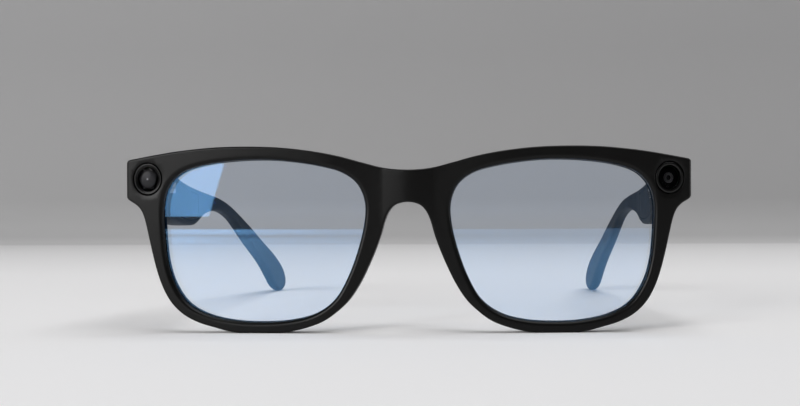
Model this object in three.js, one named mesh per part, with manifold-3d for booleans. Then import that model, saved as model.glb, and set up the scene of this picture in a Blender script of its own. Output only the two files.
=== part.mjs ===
// Smart glasses: a moulded front with two endpiece modules, and two folding temples that hold the electronics.
// Millimetres, +Z up, +Y from the front towards the ears, +X towards the wearer's left.
// The front is drawn flat, with its front face at y = 0, and then bent round the face by wrapFront.
// Every side piece is drawn on the wearer's left (+X) and mirrored for the right.
import * as THREE from 'three';
import { mergeVertices } from 'three/addons/utils/BufferGeometryUtils.js';
import Module from 'manifold-3d';

const wasm = await Module();
wasm.setup();

// Driving dimensions
const FIT = 0.3; // gap between touching pieces
const WRAP_RADIUS = 900; // curve of the front round the face
const RIM_DEPTH = 4.4; // rims and bridge, front to back
const ENDPIECE_DEPTH = 9.2; // deep ends that hold the modules
const RIM_ROUND = 0.7; // rounded edges of the front
const GROOVE_DEPTH = 0.9; // lens groove round each opening
const GROOVE_FRONT = 1.0;
const GROOVE_BACK = 3.4;
const MODULE_X = 67.4; // centre of the camera and of the indicator
const MODULE_Z = 39.75;
const MODULE_BORE = 4.25;
const BRACKET_FRONT = 7.8;
const BRACKET_BACK = 9.0;
const PIN_X = 65.6; // hinge axis
const PIN_Y = 14.0;
const PIN_RADIUS = 0.6;
const KNUCKLE_RADIUS = 1.7;
const KNUCKLES = { lower: [36.4, 37.6], middle: [37.9, 39.3], upper: [39.6, 40.8] };
const NOTCH_Z = [36.0, 42.1]; // hinge notch in the temple
const BOARD_X = [65.4, 71.7]; // what fills the endpiece pocket
const BOARD_Z = [36.4, 43.1];
const TEMPLE_INNER = 66.0; // housing faces
const TEMPLE_OUTER = 72.4;
const TEMPLE_ROUND = 1.0;
const COVER_THICKNESS = 1.0;
const POCKET_OUTER = 71.2;
const MOUTH_INSET = 1.3;
const POCKET_INSET = 1.9;
const POCKET_Y = [17.6, 41.9];
const CORE_RADIUS = 0.55;
const BUTTON_Y = 27.0;
const BUTTON_X = 69.2;
const BUTTON_SIZE = [2.4, 6.4];
const SLIDER_TRAVEL = 1.5;
const ROUND_SEGMENTS = 24;

// Outlines, as hand-placed points (x or y, z)
const BROW = [
  [0, 41.9], [6, 42.4], [12, 43.9], [18, 45.5], [25, 46.8],
  [33, 47.7], [42, 48.0], [51, 47.75], [61, 46.7], [72.1, 44.8],
];
const TOP_CORNER = [[72.1, 44.8], [73.2, 44.6], [73.2, 43.6]];
const LOW_CORNER = [[73.2, 35.4], [73.2, 34.65], [72.3, 34.15]];
const UNDERSIDE = [
  [72.3, 34.15], [70.4, 32.9], [69.15, 31.4], [68.3, 29.2], [67.5, 25.9], [66.4, 21.0],
  [65.1, 16.0], [63.5, 11.6], [61.3, 7.8], [58.2, 4.8], [54.2, 2.7], [49.5, 1.3],
  [46.5, 0.5], [43.5, 0],
];
const NOSE_SIDE = [
  [33, 0], [29.8, 0.45], [25.6, 1.5], [21.5, 3.1], [18, 5.6], [14.95, 8.6], [12.2, 12.8],
  [9.8, 17.7], [8, 22], [6.8, 25.4], [5.9, 28.6], [4.75, 31.2], [3, 32.95], [0, 33.6],
];
const OPENING = [
  [36.8, 44.5], [45, 44.25], [53, 43.2], [58.6, 41.3], [61.9, 38], [63.3, 33.5],
  [63.3, 27], [62.5, 18.9], [60.6, 12.7], [57, 7.6], [51.5, 4.6], [44.4, 3.1],
  [37, 2.8], [30, 3.3], [23.8, 5], [18.8, 8.6], [15.4, 14.4], [12.8, 21.5],
  [11.2, 28.4], [11.1, 33.6], [13, 38.2], [17, 41.2], [23, 42.9], [30, 44],
];
const DEEP_REGION = [
  [58.5, 50], [58.5, 43.8], [61.6, 42.0], [63.6, 39.6], [64.4, 36.8], [64.7, 35.0], [66.4, 34.0],
  [67.2, 30.5], [80, 30.5], [80, 50],
];
const TEMPLE_TOP = [
  [12.6, 44.3], [18, 42.5], [26, 40.4], [34.7, 38.9], [44, 37.8], [52, 36.8], [61, 35.5],
  [69, 33.8], [79, 31.0], [90, 27.6], [100, 24.3], [109, 21.1], [120, 17.3], [130, 13.4],
  [137.5, 9.7], [141.4, 6.3], [142.4, 3.6], [141.2, 1.1], [138.2, 0],
];
const TEMPLE_BOTTOM = [
  [12.6, 34.2], [15, 33.0], [18, 31.5], [21, 30.0], [24, 28.9], [28, 28.0], [33, 27.4], [38, 27.3],
  [41.4, 27.8], [44.4, 28.8], [48, 30.2], [52.5, 31.2], [58, 31.6], [65, 30.9], [73.7, 28.6], [81, 25.6], [89, 22.0],
  [96, 19.0], [103, 16.2], [110, 13.2], [117, 9.7], [124.5, 5.2], [128.6, 2.6], [132.5, 0.9],
  [136, 0],
];
const TEMPLE_CENTRE = [
  [12, 69.2], [42, 69.2], [50, 67.9], [58, 66.4], [69, 65.4], [90, 64.7], [109, 64.1], [130, 63.0], [143, 62.1],
];
const TEMPLE_HALF = [
  [12, 3.2], [42, 3.2], [50, 2.3], [58, 1.7], [69, 1.6], [90, 1.65], [109, 1.8], [130, 2.0], [143, 1.9],
];

// Curves and shapes

const toVectors = (points) => points.map(([u, v]) => new THREE.Vector2(u, v));

const smooth = (points, perStep = 2) => (
  new THREE.SplineCurve(toVectors(points)).getPoints((points.length - 1) * perStep)
);

const corner = ([a, b, c]) => new THREE.QuadraticBezierCurve(...toVectors([a, b, c])).getPoints(4);

const mirrorPoints = (vectors) => vectors.map((p) => new THREE.Vector2(-p.x, p.y)).reverse();

// Both halves of a line that starts on the centre line, as one smooth curve from -X to +X.
const acrossCentre = (points) => (
  smooth([...points.slice(1).map(([x, z]) => [-x, z]).reverse(), ...points], 2)
);

function withoutRepeats(vectors) {
  return vectors.filter((p, i) => p.distanceTo(vectors[(i + 1) % vectors.length]) > 1e-3);
}

function frontOutline() {
  const side = [...corner(TOP_CORNER), ...corner(LOW_CORNER), ...smooth(UNDERSIDE)];
  const nose = acrossCentre([...NOSE_SIDE].reverse()).reverse();
  return withoutRepeats([...acrossCentre(BROW), ...side, ...nose, ...mirrorPoints(side)]);
}

function openingOutline() {
  const corners = OPENING.map(([x, z]) => new THREE.Vector3(x, 0, z));
  const curve = new THREE.CatmullRomCurve3(corners, true, 'centripetal');
  return curve.getSpacedPoints(48).slice(0, 48).map((p) => new THREE.Vector2(p.x, p.z));
}

// Moves a closed clockwise outline outwards. Every outline here runs clockwise, and every hole the other way.
function grown(vectors, distance) {
  return vectors.map((p, i) => {
    const before = vectors[(i + vectors.length - 1) % vectors.length];
    const after = vectors[(i + 1) % vectors.length];
    const along = after.clone().sub(before).normalize();
    return new THREE.Vector2(p.x - along.y * distance, p.y + along.x * distance);
  });
}

// A span with the fitting gap added at each end.
const widened = ([low, high]) => [low - FIT, high + FIT];

// The value of a smooth line at a given place along it.
function valueAt(line, along) {
  const next = line.findIndex((p) => p.x > along);
  if (next <= 0) return next === 0 ? line[0].y : line[line.length - 1].y;
  const [a, b] = [line[next - 1], line[next]];
  return a.y + ((b.y - a.y) * (along - a.x)) / (b.x - a.x);
}

const templeTop = smooth(TEMPLE_TOP, 2);
const templeBottom = smooth(TEMPLE_BOTTOM, 2);
const templeCentre = smooth(TEMPLE_CENTRE, 4);
const templeHalf = smooth(TEMPLE_HALF, 4);
const browTop = acrossCentre(BROW);

// A closed outline between two lines that both run along increasing first coordinate.
const between = (upper, lower) => new THREE.Shape([...upper, ...[...lower].reverse()]);

// The side outline of the housing, from one y to another, drawn in from its edges.
function housingShape(start, end, inset) {
  const steps = Math.ceil((end - start) / 3);
  const places = Array.from({ length: steps + 1 }, (_, i) => start + ((end - start) * i) / steps);
  const edge = (line, shift) => places.map((y) => new THREE.Vector2(y, valueAt(line, y) + shift));
  return between(edge(templeTop, -inset), edge(templeBottom, inset));
}

// A strip that follows the brow, below its top edge.
function browStrip(reach, top, bottom) {
  const inside = browTop.filter((p) => Math.abs(p.x) < reach);
  const line = [-reach, ...inside.map((p) => p.x), reach];
  const edge = (drop) => line.map((x) => new THREE.Vector2(x, valueAt(browTop, x) - drop));
  return between(edge(top), edge(bottom));
}

function rectangle(u0, u1, v0, v1) {
  return new THREE.Shape(toVectors([[u0, v0], [u1, v0], [u1, v1], [u0, v1]]));
}

function pill(width, length) {
  const [r, s] = [width / 2, (length - width) / 2];
  const shape = new THREE.Shape();
  shape.absarc(0, s, r, 0, Math.PI, false);
  shape.absarc(0, -s, r, Math.PI, 2 * Math.PI, false);
  return shape;
}

// Solids

function extruded(shape, depth, round, roundSteps = 2) {
  return new THREE.ExtrudeGeometry(shape, {
    depth: depth - 2 * round,
    steps: 1,
    curveSegments: 6,
    bevelEnabled: round > 0,
    bevelThickness: round,
    bevelSize: round,
    bevelOffset: -round,
    bevelSegments: roundSteps,
  }).translate(0, 0, round);
}

// An outline in X and Z, from y = front to y = back.
function frontPlate(shape, front, back, round = 0) {
  return extruded(shape, back - front, round, 1).rotateX(Math.PI / 2).translate(0, back, 0);
}

const sideways = new THREE.Matrix4().makeBasis(
  new THREE.Vector3(0, 1, 0),
  new THREE.Vector3(0, 0, 1),
  new THREE.Vector3(1, 0, 0),
);

// An outline in Y and Z, from x = inner to x = outer.
function sidePlate(shape, inner, outer, round = 0) {
  return extruded(shape, outer - inner, round).applyMatrix4(sideways).translate(inner, 0, 0);
}

function box([x0, x1], [y0, y1], [z0, z1]) {
  return new THREE.BoxGeometry(x1 - x0, y1 - y0, z1 - z0)
    .translate((x0 + x1) / 2, (y0 + y1) / 2, (z0 + z1) / 2);
}

// A turned piece on an axis along Y, from (radius, y) points.
function turned(points, x, z) {
  return new THREE.LatheGeometry(toVectors(points), ROUND_SEGMENTS).translate(x, 0, z);
}

const closedTurned = (points, x, z) => turned([...points, points[0]], x, z);

// A cylinder on an axis along Z.
function post(radius, x, y, [low, high]) {
  return new THREE.CylinderGeometry(radius, radius, high - low, 20).rotateX(Math.PI / 2)
    .translate(x, y, (low + high) / 2);
}

// A cylinder on an axis along X.
function crossHole(radius, [x0, x1], y, z) {
  return new THREE.CylinderGeometry(radius, radius, x1 - x0, 12).rotateZ(Math.PI / 2)
    .translate((x0 + x1) / 2, y, z);
}

// One closed body with shared corners, no needle faces and its faces pointing out.
function tidy(geometry) {
  const bare = geometry.clone();
  bare.deleteAttribute('normal');
  bare.deleteAttribute('uv');
  const merged = mergeVertices(bare, 1e-4);
  const place = merged.attributes.position;
  const corners = merged.index.array;
  const kept = [];
  let volume = 0;
  for (let i = 0; i < corners.length; i += 3) {
    const face = [corners[i], corners[i + 1], corners[i + 2]];
    if (new Set(face).size < 3) continue;
    const [a, b, c] = face.map((n) => new THREE.Vector3().fromBufferAttribute(place, n));
    volume += a.dot(b.cross(c));
    kept.push(face);
  }
  merged.setIndex((volume < 0 ? kept.map(([a, b, c]) => [a, c, b]) : kept).flat());
  return merged;
}

function toManifold(geometry) {
  const { index, attributes } = tidy(geometry);
  return new wasm.Manifold(new wasm.Mesh({
    numProp: 3,
    vertProperties: new Float32Array(attributes.position.array),
    triVerts: new Uint32Array(index.array),
  }));
}

function toGeometry(manifold) {
  const { vertProperties, triVerts } = manifold.getMesh();
  const geometry = new THREE.BufferGeometry();
  geometry.setAttribute('position', new THREE.BufferAttribute(new Float32Array(vertProperties), 3));
  geometry.setIndex(Array.from(triVerts));
  return geometry;
}

const combine = (how) => (first, ...others) => toGeometry(
  others.map(toManifold).reduce((solid, other) => solid[how](other), toManifold(first)),
);
const join = combine('add');
const cut = combine('subtract');
const common = combine('intersect');

function moved(geometry, change) {
  const place = geometry.attributes.position;
  for (let i = 0; i < place.count; i += 1) {
    const point = change(new THREE.Vector3().fromBufferAttribute(place, i));
    place.setXYZ(i, point.x, point.y, point.z);
  }
  return geometry;
}

// Bends a piece of the front round the face.
const wrapFront = (geometry) => moved(tidy(geometry), (p) => {
  p.y += p.x ** 2 / (2 * WRAP_RADIUS);
  return p;
});

const mirrored = (geometry) => tidy(geometry.clone().scale(-1, 1, 1));

// Finishes
const finish = (color, roughness, metalness = 0, extra = {}) => ({ color, roughness, metalness, ...extra });
const FINISHES = {
  shell: finish(0x232324, 0.5),
  pad: finish(0x1d1d1e, 0.7),
  lens: finish(0xcfe0f2, 0.05, 0, { transparent: true, opacity: 0.4 }),
  trim: finish(0x101011, 0.3, 0.4),
  glass: finish(0x0b0d10, 0.05, 0, { transparent: true, opacity: 0.6 }),
  barrel: finish(0x08080a, 0.45),
  element: finish(0x30323a, 0.05),
  board: finish(0x1e4a2c, 0.6),
  guide: finish(0xb9bec4, 0.2),
  flex: finish(0xa05a1c, 0.5),
  contact: finish(0xc9a24e, 0.25, 1),
  steel: finish(0x8b8d90, 0.35, 1),
  mesh: finish(0x2b2c2e, 0.5, 0.8),
  cell: finish(0x9a9da1, 0.4, 0.6),
  button: finish(0x2a2a2b, 0.4),
};

const glasses = new THREE.Group();
glasses.name = 'smart_glasses';

function add(name, geometry, look) {
  const material = new THREE.MeshStandardMaterial({ ...FINISHES[look], flatShading: true });
  const mesh = new THREE.Mesh(tidy(geometry), material);
  mesh.name = name;
  glasses.add(mesh);
}

// A piece drawn on the wearer's left goes on one side.
const addOn = (side, name, geometry, look) => (
  add(`${name}_${side}`, side === 'left' ? geometry : mirrored(geometry), look)
);

const addBoth = (name, geometry, look) => {
  for (const side of ['right', 'left']) addOn(side, name, geometry, look);
};

const withMirror = (...geometries) => geometries.flatMap((g) => [g, mirrored(g)]);

// The front

const opening = openingOutline();

function frontBody() {
  const plate = new THREE.Shape(frontOutline());
  plate.holes = [opening, mirrorPoints(opening)].map((edge) => new THREE.Path([...edge].reverse()));
  const rims = frontPlate(plate, 0, RIM_DEPTH, RIM_ROUND);
  const whole = frontPlate(new THREE.Shape(frontOutline()), 0, ENDPIECE_DEPTH, RIM_ROUND);
  const region = frontPlate(new THREE.Shape(toVectors(DEEP_REGION)), RIM_DEPTH - 1.4, ENDPIECE_DEPTH + 1);
  return join(rims, ...withMirror(common(whole, region)));
}

const moduleDisc = (radius, front, back, x = MODULE_X, z = MODULE_Z) => (
  turned([[0, front], [radius, front], [radius, back], [0, back]], x, z)
);

// Channel for the flat cable, and its way down into each endpiece pocket.
const channelTail = rectangle(61.8, 65.6, 42.4, 45.2);

function frontFrame() {
  const groove = frontPlate(new THREE.Shape(grown(opening, GROOVE_DEPTH)), GROOVE_FRONT, GROOVE_BACK);
  const bore = moduleDisc(MODULE_BORE, -1, RIM_DEPTH + 0.01);
  const pocket = box(widened(BOARD_X), [RIM_DEPTH, ENDPIECE_DEPTH + 1], widened(BOARD_Z));
  const tail = frontPlate(channelTail, 3.2, RIM_DEPTH + 0.3);
  const contact = moduleDisc(1.4, 2.9, RIM_DEPTH + 1, 3.4, 37.4);
  const channel = frontPlate(browStrip(64.6, 1.0, 2.4), 3.2, RIM_DEPTH + 0.1);
  const microphone = box([-1.6, 1.6], [2.9, RIM_DEPTH + 1], [34.6, 37.0]);
  return wrapFront(cut(frontBody(), ...withMirror(groove, bore, pocket, tail, contact), channel, microphone));
}

function flexCable() {
  const strip = frontPlate(browStrip(64.2, 1.35, 2.05), 3.5, 3.65);
  const tail = frontPlate(rectangle(62.1, 64.2, 42.7, 45.1), 3.5, 3.65);
  return join(strip, ...withMirror(tail));
}

function nosePad() {
  const pad = new THREE.SphereGeometry(1, 16, 10).scale(1.4, 4.6, 6.6)
    .rotateZ(-0.25).rotateY(-0.38).translate(11.1, RIM_DEPTH + 0.4, 20.4);
  return common(pad, box([0, 20], [RIM_DEPTH + FIT, 20], [0, 40]));
}

const contactPoints = [[0, 3.2], [0.5, 3.2], [0.5, 3.7], [1.1, 3.7], [1.1, 4.3], [0.95, 4.45], [0, 4.45]];

function addFront() {
  const lens = frontPlate(new THREE.Shape(grown(opening, GROOVE_DEPTH - FIT)), GROOVE_FRONT + FIT, GROOVE_BACK - FIT);
  add('front_frame', frontFrame(), 'shell');
  addBoth('lens', wrapFront(lens), 'lens');
  add('brow_flex', wrapFront(flexCable()), 'flex');
  add('brow_flex_cover', wrapFront(frontPlate(browStrip(57.5, 1.3, 2.1), 3.95, RIM_DEPTH)), 'shell');
  addBoth('nose_pad', wrapFront(nosePad()), 'pad');
  addBoth('charging_contact', wrapFront(turned(contactPoints, 3.4, 37.4)), 'contact');
  add('nose_microphone', wrapFront(box([-1.3, 1.3], [3.2, 4.2], [34.9, 36.7])), 'steel');
}

// Endpiece modules: each is a trim ring with a window, and what sits behind it.

const RING = [[3.95, 0], [3.45, 0], [3.0, 0.4], [3.0, 1.2], [2.6, 1.2], [2.6, 2.3], [3.95, 2.3]];
const BARREL = [
  [0, 2.9], [1.9, 2.9], [1.9, 1.3], [2.3, 1.3], [2.3, 2.6], [3.5, 2.6], [3.5, 4.1], [2.0, 4.1],
  [2.0, 5.2], [0, 5.2],
];
const ELEMENT = [[0, 1.2], [0.8, 1.32], [1.3, 1.6], [1.6, 2.0], [1.6, 2.6], [0, 2.6]];
const GUIDE = [[0.7, 1.2], [1.4, 1.2], [1.4, 2.6], [3.2, 2.6], [3.2, 3.4], [0.7, 3.4]];

function addModules() {
  const ring = wrapFront(closedTurned(RING, MODULE_X, MODULE_Z));
  const window = wrapFront(moduleDisc(2.7, 0.5, 0.9));
  const led = box([MODULE_X - 0.5, MODULE_X + 0.5], [3.7, 4.8], [MODULE_Z - 0.5, MODULE_Z + 0.5]);
  add('camera_trim_ring', mirrored(ring), 'trim');
  add('camera_cover_glass', mirrored(window), 'glass');
  add('camera_barrel', mirrored(wrapFront(turned(BARREL, MODULE_X, MODULE_Z))), 'barrel');
  add('camera_front_element', mirrored(wrapFront(turned(ELEMENT, MODULE_X, MODULE_Z))), 'element');
  add('camera_sensor_board', mirrored(wrapFront(box(BOARD_X, [5.5, 6.1], BOARD_Z))), 'board');
  add('indicator_trim_ring', ring, 'trim');
  add('indicator_window', window, 'glass');
  add('indicator_light_guide', wrapFront(closedTurned(GUIDE, MODULE_X, MODULE_Z)), 'guide');
  add('indicator_board', wrapFront(join(box(BOARD_X, [4.7, 5.3], BOARD_Z), led)), 'board');
}

// Hinges

function hingeBracket() {
  const plate = wrapFront(box(BOARD_X, [BRACKET_FRONT, BRACKET_BACK], BOARD_Z));
  const knuckles = [KNUCKLES.lower, KNUCKLES.upper].flatMap((level) => [
    post(KNUCKLE_RADIUS, PIN_X, PIN_Y, level),
    box([BOARD_X[0], PIN_X + 1.4], [10.8, PIN_Y], level),
  ]);
  const bore = post(PIN_RADIUS + FIT, PIN_X, PIN_Y, [30, 50]);
  return cut(join(plate, ...knuckles), bore);
}

function hingeLeaf() {
  const knuckle = post(KNUCKLE_RADIUS, PIN_X, PIN_Y, KNUCKLES.middle);
  const neck = box([PIN_X, 68.5], [14.4, 15.8], KNUCKLES.middle);
  const tongue = box([67.3, 68.5], [14.4, 21.5], KNUCKLES.middle);
  return cut(join(knuckle, neck, tongue), post(PIN_RADIUS + FIT, PIN_X, PIN_Y, [30, 50]));
}

function hingePin() {
  const shaft = post(PIN_RADIUS, PIN_X, PIN_Y, [36.4, 41.3]);
  const head = post(1.2, PIN_X, PIN_Y, [41.1, 41.7]);
  return join(shaft, head);
}

function addHinges() {
  addBoth('hinge_bracket', hingeBracket(), 'steel');
  addBoth('hinge_leaf', hingeLeaf(), 'steel');
  addBoth('hinge_pin', hingePin(), 'steel');
}

// Temples

function templeBody() {
  const outline = new THREE.Shape(withoutRepeats([...templeTop, ...[...templeBottom].reverse()]));
  const middle = (TEMPLE_INNER + TEMPLE_OUTER) / 2;
  const half = (TEMPLE_OUTER - TEMPLE_INNER) / 2;
  return moved(tidy(sidePlate(outline, TEMPLE_INNER, TEMPLE_OUTER, TEMPLE_ROUND)), (p) => {
    p.x = valueAt(templeCentre, p.y) + ((p.x - middle) * valueAt(templeHalf, p.y)) / half;
    return p;
  });
}

// The middle of the arm, as a rod from one y to another.
function coreRod(radius, start, end, steps) {
  const places = Array.from({ length: 13 }, (_, i) => start + ((end - start) * i) / 12);
  const path = new THREE.CatmullRomCurve3(places.map((y) => new THREE.Vector3(
    valueAt(templeCentre, y),
    y,
    (valueAt(templeTop, y) + valueAt(templeBottom, y)) / 2,
  )));
  const section = new THREE.Shape().absarc(0, 0, radius, 0, 2 * Math.PI, false);
  return new THREE.ExtrudeGeometry(section, { steps, curveSegments: 4, extrudePath: path });
}

function hingeClearance() {
  return [
    post(KNUCKLE_RADIUS + 0.5, PIN_X, PIN_Y, NOTCH_Z),
    box([65, 67.4], [12, PIN_Y], NOTCH_Z),
    box([65, 68.8], [PIN_Y - 0.1, 16.1], widened(KNUCKLES.middle)),
    box([67, 68.8], [PIN_Y, POCKET_Y[0] + 0.5], widened(KNUCKLES.middle)),
  ];
}

// Frame of the top surface at the button: across, along and out of the housing.
const buttonRise = (valueAt(templeTop, BUTTON_Y - 3) - valueAt(templeTop, BUTTON_Y + 3)) / 6;
const buttonTilt = Math.atan(buttonRise);
const buttonPlace = new THREE.Matrix4().makeBasis(
  new THREE.Vector3(1, 0, 0),
  new THREE.Vector3(0, Math.cos(buttonTilt), -Math.sin(buttonTilt)),
  new THREE.Vector3(0, Math.sin(buttonTilt), Math.cos(buttonTilt)),
).setPosition(BUTTON_X, BUTTON_Y, valueAt(templeTop, BUTTON_Y));

const onButton = (shape, low, high, round = 0) => (
  extruded(shape, high - low, round).translate(0, 0, low).applyMatrix4(buttonPlace)
);

function templeShell(extraCuts) {
  const mouth = sidePlate(housingShape(POCKET_Y[0] - 0.6, POCKET_Y[1] + 0.6, MOUTH_INSET), 64, 67.3);
  const pocket = sidePlate(housingShape(...POCKET_Y, POCKET_INSET), TEMPLE_INNER, POCKET_OUTER);
  const coreBore = coreRod(CORE_RADIUS + FIT, 41, 131.5, 24);
  const speakerSlot = box([68.1, 70.5], [35.2, 39.8], [26, 30.2]);
  const port = crossHole(0.5, [70, 74], 19.6, 38.3);
  return cut(templeBody(), mouth, pocket, coreBore, speakerSlot, port, ...hingeClearance(), ...extraCuts);
}

const coverPlate = () => sidePlate(
  housingShape(POCKET_Y[0] - 0.3, POCKET_Y[1] + 0.3, MOUTH_INSET + FIT),
  TEMPLE_INNER,
  TEMPLE_INNER + COVER_THICKNESS,
);

function speakerMesh() {
  const plate = rectangle(68.4, 70.2, 35.5, 39.5);
  plate.holes = [36.3, 37.5, 38.7].map((y) => new THREE.Path(toVectors(
    [[68.8, y - 0.3], [69.8, y - 0.3], [69.8, y + 0.3], [68.8, y + 0.3]],
  )));
  return extruded(plate, 0.7, 0).translate(0, 0, 28.3);
}

function addTemples() {
  const buttonSlot = onButton(pill(BUTTON_SIZE[0] + 2 * FIT, BUTTON_SIZE[1] + 2 * FIT), -2.6, 4);
  const sliderSlot = box([64, 69], [19.0, 23.3], [34.4, 36.4]);
  addOn('right', 'temple_shell', templeShell([buttonSlot]), 'shell');
  addOn('left', 'temple_shell', templeShell([]), 'shell');
  addOn('right', 'temple_cover', coverPlate(), 'shell');
  addOn('left', 'temple_cover', cut(coverPlate(), sliderSlot), 'shell');
  addBoth('core_wire', coreRod(CORE_RADIUS, 42.3, 130.5, 24), 'steel');
  addBoth('speaker', sidePlate(rectangle(34.4, 40.8, 30.5, 33.6), 67.9, 70.7, 0.4), 'cell');
  addBoth('speaker_mesh', speakerMesh(), 'mesh');
  addBoth('microphone', box([69.2, 70.6], [18.4, 20.9], [37.4, 39.2]), 'steel');
}

// Electronics of the wearer's right temple, with the capture button.
function addRightElectronics() {
  const can = box([68.9, 70.3], [22.4, 32], [32.5, 34.9]);
  const inside = box([68, 70.0], [22.7, 31.7], [32.8, 34.6]);
  const stem = onButton(pill(...BUTTON_SIZE), -2.3, 0.5, 0.2);
  const flange = onButton(pill(2.6, 7.6), -2.7, -2.2);
  const put = (name, geometry, look) => add(name, mirrored(geometry), look);
  put('main_board', box([68.0, 68.6], [21.7, 33.6], [32.2, 35.2]), 'board');
  put('processor_shield', cut(can, inside), 'steel');
  put('touch_sensor', box([70.6, 70.85], [22, 33.6], [31.4, 36.2]), 'flex');
  put('capture_switch', onButton(rectangle(-1.1, 1.1, -1.8, 1.8), -4.2, -3.2), 'steel');
  put('capture_button', join(stem, flange), 'button');
}

// Electronics of the wearer's left temple, with the power slider.
function addLeftElectronics() {
  const knob = box([65.4, 67.4], [19.3, 21.5], [34.7, 36.1]);
  const flange = box([67.3, 67.8], [18.4, 22.4], [34.1, 36.7]);
  add('battery', sidePlate(housingShape(25, 33.6, POCKET_INSET + 0.5), 67.6, 70.8, 0.3), 'cell');
  add('battery_board', box([68.0, 68.6], [21.6, 24.4], [32.1, 33.7]), 'board');
  add('power_switch_body', box([68.2, 70.4], [18.4, 21.9 + SLIDER_TRAVEL], [34.0, 37.0]), 'steel');
  add('power_slider', join(knob, flange), 'button');
}

addFront();
addModules();
addHinges();
addTemples();
addRightElectronics();
addLeftElectronics();

// The origin is the middle of the bottom of the whole object, which stands on its rims and ear tips.
const extent = new THREE.Box3().setFromObject(glasses);
const middle = extent.getCenter(new THREE.Vector3());
glasses.position.set(-middle.x, -middle.y, -extent.min.z);

export default glasses;
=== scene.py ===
"""Smart glasses: the fine surfaces, materials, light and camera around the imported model.

Drawing coordinates are millimetres: x to the wearer's left, y back from the front face, z up from the table.
"""

import math

import bmesh
import bpy
import numpy as np
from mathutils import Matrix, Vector
from mathutils.geometry import delaunay_2d_cdt


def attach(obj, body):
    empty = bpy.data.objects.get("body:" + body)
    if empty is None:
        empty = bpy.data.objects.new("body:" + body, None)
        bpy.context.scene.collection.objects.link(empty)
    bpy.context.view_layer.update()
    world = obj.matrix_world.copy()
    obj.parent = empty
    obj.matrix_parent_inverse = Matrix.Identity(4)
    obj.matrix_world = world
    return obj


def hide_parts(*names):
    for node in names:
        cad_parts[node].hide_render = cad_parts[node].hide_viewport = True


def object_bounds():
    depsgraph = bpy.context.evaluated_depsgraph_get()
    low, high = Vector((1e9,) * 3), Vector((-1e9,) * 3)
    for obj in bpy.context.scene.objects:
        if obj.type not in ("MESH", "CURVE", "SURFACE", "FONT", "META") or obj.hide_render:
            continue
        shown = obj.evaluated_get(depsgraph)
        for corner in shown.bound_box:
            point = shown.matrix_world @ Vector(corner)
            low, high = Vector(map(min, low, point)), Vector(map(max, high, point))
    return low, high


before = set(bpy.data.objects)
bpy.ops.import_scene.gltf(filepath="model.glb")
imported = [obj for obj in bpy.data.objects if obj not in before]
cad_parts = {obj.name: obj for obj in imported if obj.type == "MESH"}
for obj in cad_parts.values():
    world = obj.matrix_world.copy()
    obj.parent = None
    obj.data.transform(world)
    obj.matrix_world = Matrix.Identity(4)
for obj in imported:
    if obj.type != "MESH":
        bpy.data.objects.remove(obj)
cad_low, cad_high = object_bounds()
MM = 0.001
FRONT_Y = cad_low.y  # where the front face's middle stands

# Driving dimensions
HALF_WIDTH = 73.2
WRAP_RADIUS = 900.0
RIM_DEPTH = 4.4
ENDPIECE_DEPTH = 9.2
ENDPIECE_STEP = 1.3  # how gently the rims deepen into the endpieces
OUTER_ROUND = 0.5  # front edges of the outline
END_ROUND = 0.9  # front edges of the outer ends
INNER_ROUND = 1.05  # front edges of the lens openings
BORE_ROUND = 0.22  # front edges of the module bores
REAR_ROUND = 1.0
GROOVE_DEPTH = 0.9
GROOVE_FRONT = 1.0
GROOVE_BACK = 3.4
LENS_PLAY = 0.35  # between a lens edge and the groove's floor
LENS_FRONT = 1.35
LENS_BACK = 3.05
MODULE = (67.4, 39.75)
MODULE_BORE = 4.25
BORE_DEPTH = 6.0
MODULE_OVAL = 0.9  # the endpiece faces turn outwards, so the rings are narrower across
BRIDGE_CREASE = 6.7
BRIDGE_CROWN = 0.75
BRIDGE_SOFT = 1.5  # roundness of the middle of the crown
BRIDGE_FADE = 17  # width over which the crown ends beyond the crease
POCKET_X = (65.1, 72.0)
POCKET_Z = (36.1, 43.4)
POCKET_FLOOR = 7.5
BROW_REACH = 57.8  # half length of the cable channel
BROW_FLOOR = 3.7
CONTACT_PLACE = (3.4, 37.4)
REAR_FLOOR = 3.0  # recesses of the contacts and the microphone
PIN = (65.6, 14.0)
PIN_RADIUS = 0.6
PIN_BORE = 0.75
KNUCKLE_RADIUS = 1.7
HOUSING_FLOOR = 67.5  # x of the housing pocket's floor
COVER = (17.3, 42.2)  # y of the inner cover's ends
COVER_FACE = 66.0  # x of the cover's two sides
COVER_BACK = 67.0
COVER_INSET = 1.6
COVER_GAP = 0.12
PORT = (19.6, 38.3)  # microphone port, y and z
PORT_FLOOR = 71.2
BUTTON_Y = 27.0
BUTTON_X = 69.2
GRILLE = (28.35, 28.95)  # z of the speaker grille's two sides
SPACING = 0.7  # between points along the outlines

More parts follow.
